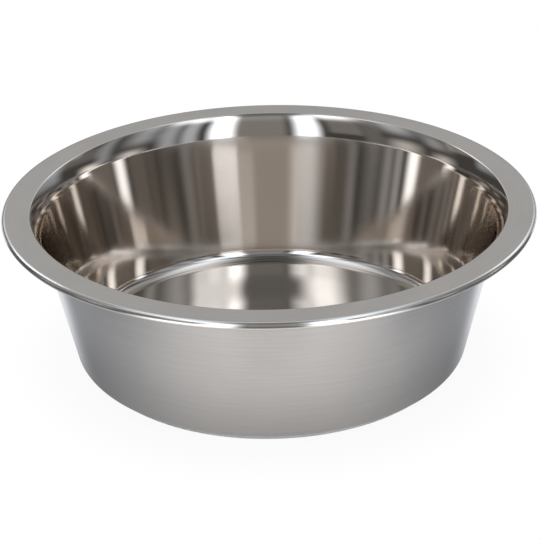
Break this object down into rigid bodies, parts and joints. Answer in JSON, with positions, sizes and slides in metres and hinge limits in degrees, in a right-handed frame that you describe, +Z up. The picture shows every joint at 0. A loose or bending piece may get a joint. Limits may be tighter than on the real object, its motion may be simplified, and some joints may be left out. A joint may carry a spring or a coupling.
{
  "type": "metal pet bowl",
  "caption": "Round drawn stainless steel bowl with a flat rolled-edge flange, a tapered wall and a non-slip ring under its base, for a pet's food or water.",
  "frame": {"origin": "centre of the non-slip ring that the bowl stands on, at table level", "axes": "+Z up along the bowl's axis of revolution; X and Y are free, because the bowl is round"},
  "size_m": [0.28, 0.28, 0.087],
  "materials": {
    "stainless_steel": "spun-polished inside and on the rim, satin outside",
    "grey_rubber": "pale grey, matt and slightly cloudy"
  },
  "bodies": {
    "root": {"bowl": "stainless_steel", "non_slip_ring": "grey_rubber"}
  },
  "joints": []
}
